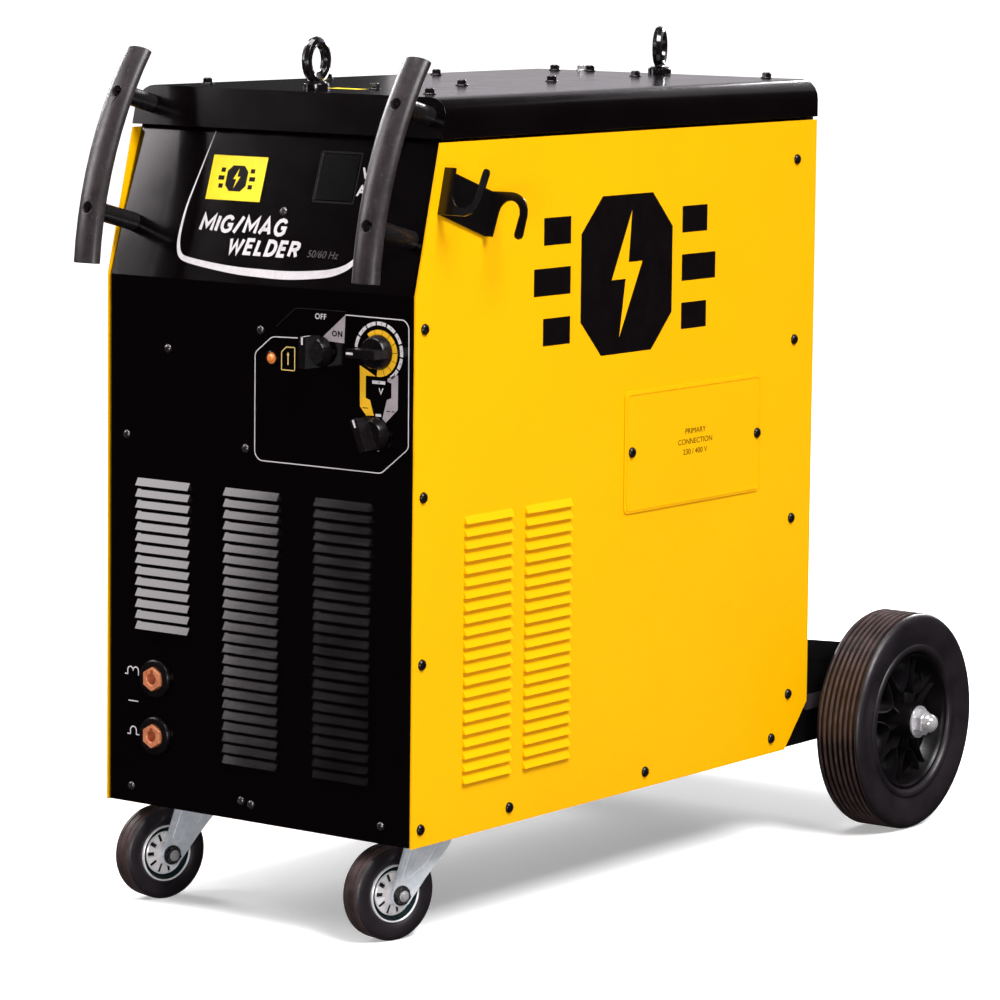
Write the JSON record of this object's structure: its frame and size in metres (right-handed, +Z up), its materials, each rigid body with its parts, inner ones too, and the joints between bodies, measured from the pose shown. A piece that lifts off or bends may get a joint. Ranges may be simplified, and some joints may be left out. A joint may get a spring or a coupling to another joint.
{
  "type": "wheeled arc welding power source",
  "caption": "Wheeled cabinet welding power source: louvred leaning front with step switches and bayonet sockets, swivel casters, large rear wheels, bowed handles and cable hook.",
  "frame": {"origin": "on the floor under the middle of the bounding box", "axes": "+Z up, the front with its knobs and sockets faces -Y, and +X is to the right of someone who faces the front"},
  "size_m": [0.6244, 1.0625, 0.9358],
  "materials": {
    "yellow_paint": "semi-gloss powder coat",
    "black_paint": "gloss powder coat",
    "handle_paint": "satin powder coat",
    "zinc_plate": "zinc plated",
    "nut_steel": "bright zinc",
    "tyre_rubber": "matt",
    "caster_disc": "zinc plated",
    "black_plastic": "satin",
    "copper_contact": "bare copper",
    "lamp_lens": "clear tinted",
    "window": "gloss",
    "core_steel": "varnished laminations",
    "winding": "varnished copper",
    "heat_sink": "mill",
    "board": "satin",
    "bakelite": "satin"
  },
  "bodies": {
    "cabinet": {"access_cover": "yellow_paint", "axle_block_left": "black_paint", "axle_block_right": "black_paint", "base_tray": "black_paint", "cable_hook": "black_paint", "caster_plate_left": "zinc_plate", "caster_plate_right": "zinc_plate", "coarse_body": "bakelite", "coil_1": "winding", "coil_2": "winding", "coil_3": "winding", "component_shelf": "zinc_plate", "contactor": "bakelite", "control_board": "board", "cylinder_shelf": "black_paint", "digital_meter": "window", "eye_bolt_front": "black_paint", "eye_bolt_rear": "black_paint", "fan_motor": "nut_steel", "fine_body": "bakelite", "front_panel": "black_paint", "handle_arm_left_lower": "handle_paint", "handle_arm_left_upper": "handle_paint", "handle_arm_right_lower": "handle_paint", "handle_arm_right_upper": "handle_paint", "handle_bar_left": "handle_paint", "handle_bar_right": "handle_paint", "lifting_rail": "zinc_plate", "main_switch_body": "bakelite", "mains_gland": "black_plastic", "output_choke": "core_steel", "output_socket_lower": "black_plastic", "output_socket_upper": "black_plastic", "pilot_lamp": "lamp_lens", "rear_axle": "zinc_plate", "rear_panel": "black_paint", "rectifier_stack": "heat_sink", "roof_cover": "black_paint", "side_panel_left": "yellow_paint", "side_panel_right": "yellow_paint", "socket_contact_lower": "copper_contact", "socket_contact_upper": "copper_contact", "terminal_board": "bakelite", "transformer_core": "core_steel", "wheel_nut_left": "nut_steel", "wheel_nut_right": "nut_steel"},
    "caster_swivel_right": {"caster_fork_right": "zinc_plate"},
    "caster_wheel_right": {"caster_rim_right": "caster_disc", "caster_tyre_right": "tyre_rubber"},
    "caster_swivel_left": {"caster_fork_left": "zinc_plate"},
    "caster_wheel_left": {"caster_rim_left": "caster_disc", "caster_tyre_left": "tyre_rubber"},
    "rear_wheel_right": {"rear_rim_right": "black_plastic", "rear_tyre_right": "tyre_rubber"},
    "rear_wheel_left": {"rear_rim_left": "black_plastic", "rear_tyre_left": "tyre_rubber"},
    "main_switch": {"main_switch_knob": "black_plastic"},
    "coarse_selector": {"coarse_knob": "black_plastic"},
    "fine_selector": {"fine_knob": "black_plastic"},
    "fan": {"fan_blades": "black_plastic"}
  },
  "joints": [
    {"name": "caster_swivel_right", "type": "hinge", "parent": "cabinet", "child": "caster_swivel_right", "pos_m": [0.1568, -0.3984, 0.11], "axis": [0, 0, 1], "continuous": true},
    {"name": "caster_spin_right", "type": "hinge", "parent": "caster_swivel_right", "child": "caster_wheel_right", "pos_m": [0.14853, -0.42724, 0.05], "axis": [0.9613, -0.2756, 0], "continuous": true},
    {"name": "rear_spin_right", "type": "hinge", "parent": "cabinet", "child": "rear_wheel_right", "pos_m": [0.2542, 0.4042, 0.127], "axis": [1, 0, 0], "continuous": true},
    {"name": "caster_swivel_left", "type": "hinge", "parent": "cabinet", "child": "caster_swivel_left", "pos_m": [-0.1568, -0.3984, 0.11], "axis": [0, 0, 1], "continuous": true},
    {"name": "caster_spin_left", "type": "hinge", "parent": "caster_swivel_left", "child": "caster_wheel_left", "pos_m": [-0.16507, -0.42724, 0.05], "axis": [0.9613, -0.2756, 0], "continuous": true},
    {"name": "rear_spin_left", "type": "hinge", "parent": "cabinet", "child": "rear_wheel_left", "pos_m": [-0.2542, 0.4042, 0.127], "axis": [1, 0, 0], "continuous": true},
    {"name": "main_switch_turn", "type": "hinge", "parent": "cabinet", "child": "main_switch", "pos_m": [0.084, -0.4658, 0.615], "axis": [0, 1, 0], "range_deg": [0, 45]},
    {"name": "coarse_turn", "type": "hinge", "parent": "cabinet", "child": "coarse_selector", "pos_m": [0.1607, -0.4658, 0.6194], "axis": [0, 1, 0], "range_deg": [0, 270]},
    {"name": "fine_turn", "type": "hinge", "parent": "cabinet", "child": "fine_selector", "pos_m": [0.158, -0.4658, 0.535], "axis": [0, 1, 0], "range_deg": [0, 50]},
    {"name": "fan_spin", "type": "hinge", "parent": "cabinet", "child": "fan", "pos_m": [0, 0.2517, 0.42], "axis": [0, 1, 0], "continuous": true}
  ]
}
